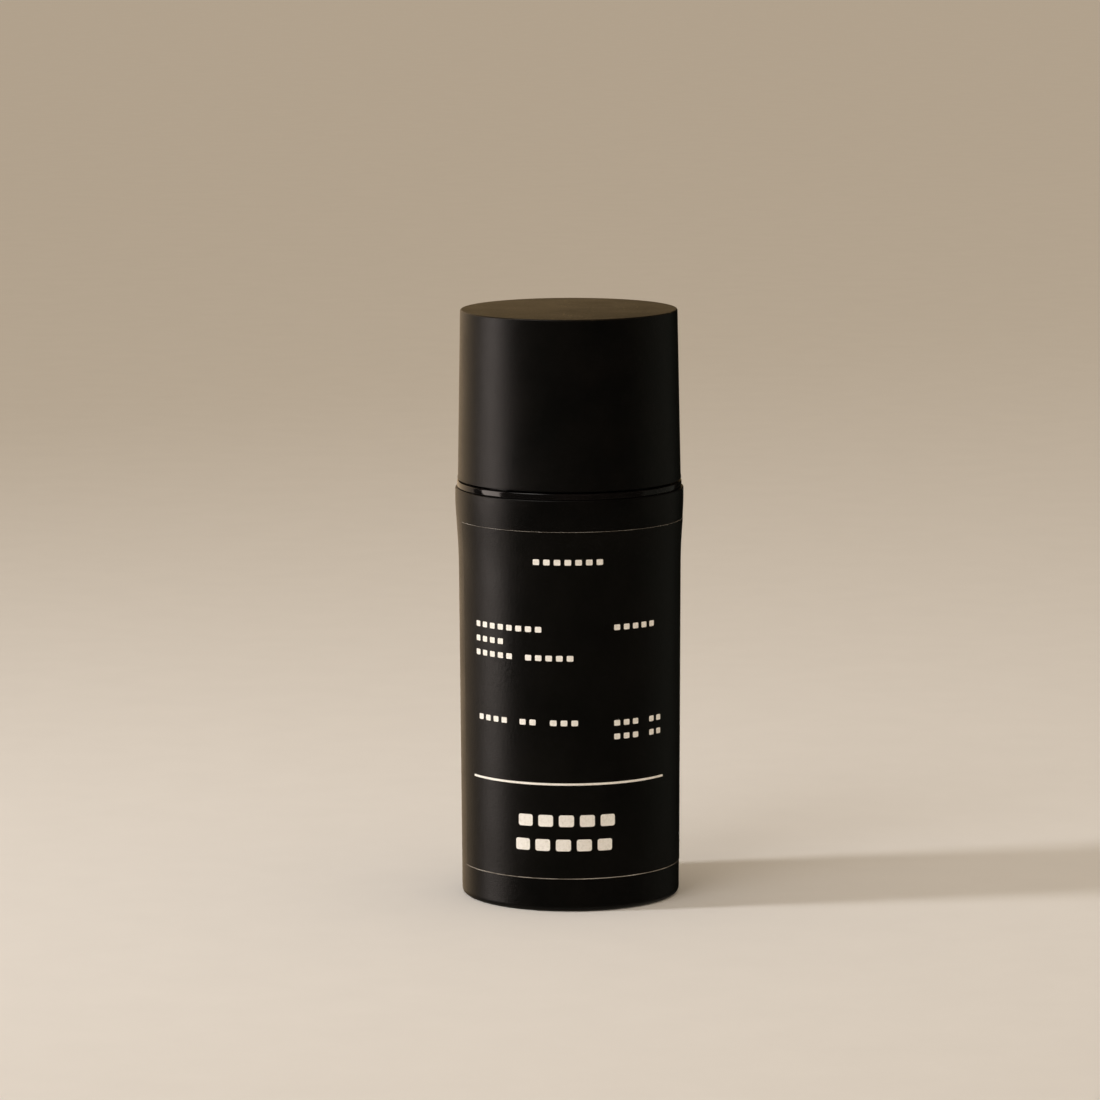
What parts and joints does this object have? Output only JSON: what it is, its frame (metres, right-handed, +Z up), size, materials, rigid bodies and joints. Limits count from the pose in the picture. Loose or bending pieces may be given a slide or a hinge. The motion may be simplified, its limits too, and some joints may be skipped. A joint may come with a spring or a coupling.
{
  "type": "airless pump bottle for shaving cream",
  "caption": "Tall round airless pump bottle for shaving cream, matte black, with a lift-off overcap, a wrapped label and a rising follower piston inside.",
  "frame": {"origin": "centre of the foot ring, on the surface the bottle stands on", "axes": "+Z up along the bottle's axis, towards the overcap; -Y is the printed front and the side the spout points to at rest"},
  "size_m": [0.0522, 0.0522, 0.135],
  "materials": {
    "cap_shell": "soft-touch matte black",
    "actuator_plastic": "satin black",
    "nozzle_plastic": "gloss black",
    "collar_gloss": "high-gloss black",
    "natural_plastic": "natural translucent white",
    "gasket_rubber": "soft grey",
    "stem_plastic": "smooth white",
    "piston_plastic": "waxy white",
    "spring_wire": "drawn stainless wire",
    "ball_glass": "clear polished",
    "bottle_shell": "soft-touch matte black",
    "base_plastic": "matte black",
    "label_film": "matte black printed film",
    "cream": "smooth white cream"
  },
  "bodies": {
    "bottle": {"bottle_body": "bottle_shell", "label": "label_film", "base_plate": "base_plastic", "mouth_gasket": "gasket_rubber", "pump_plate": "natural_plastic", "pump_housing": "natural_plastic", "chamber_cap": "natural_plastic", "stem_wiper": "gasket_rubber", "ball_retainer": "natural_plastic", "collar": "collar_gloss", "return_spring": "spring_wire", "cream_ring": "cream", "cream_core": "cream"},
    "cap": {"overcap": "cap_shell"},
    "stem_group": {"stem": "stem_plastic", "stem_pin": "stem_plastic"},
    "button": {"actuator": "actuator_plastic", "nozzle_insert": "nozzle_plastic"},
    "pump_piston": {"dosing_piston": "piston_plastic"},
    "ball": {"inlet_ball": "ball_glass"},
    "follower": {"follower_piston": "piston_plastic"}
  },
  "joints": [
    {"name": "overcap_lift", "type": "slide", "parent": "bottle", "child": "cap", "axis": [0, 0, 1], "range_m": [0, 0.05]},
    {"name": "actuator_press", "type": "slide", "parent": "bottle", "child": "stem_group", "axis": [0, 0, -1], "range_m": [0, 0.0055], "stiffness_N_per_m": 1500, "springref_m": -0.004, "deforming": ["return_spring"]},
    {"name": "actuator_turn", "type": "hinge", "parent": "stem_group", "child": "button", "pos_m": [0, 0, 0.11], "axis": [0, 0, 1], "continuous": true},
    {"name": "piston_shift", "type": "slide", "parent": "stem_group", "child": "pump_piston", "axis": [0, 0, 1], "range_m": [0, 0.0009]},
    {"name": "inlet_ball_lift", "type": "slide", "parent": "bottle", "child": "ball", "axis": [0, 0, 1], "range_m": [0, 0.0012]},
    {"name": "follower_rise", "type": "slide", "parent": "bottle", "child": "follower", "axis": [0, 0, 1], "range_m": [0, 0.058], "deforming": ["cream_ring", "cream_core"]}
  ]
}
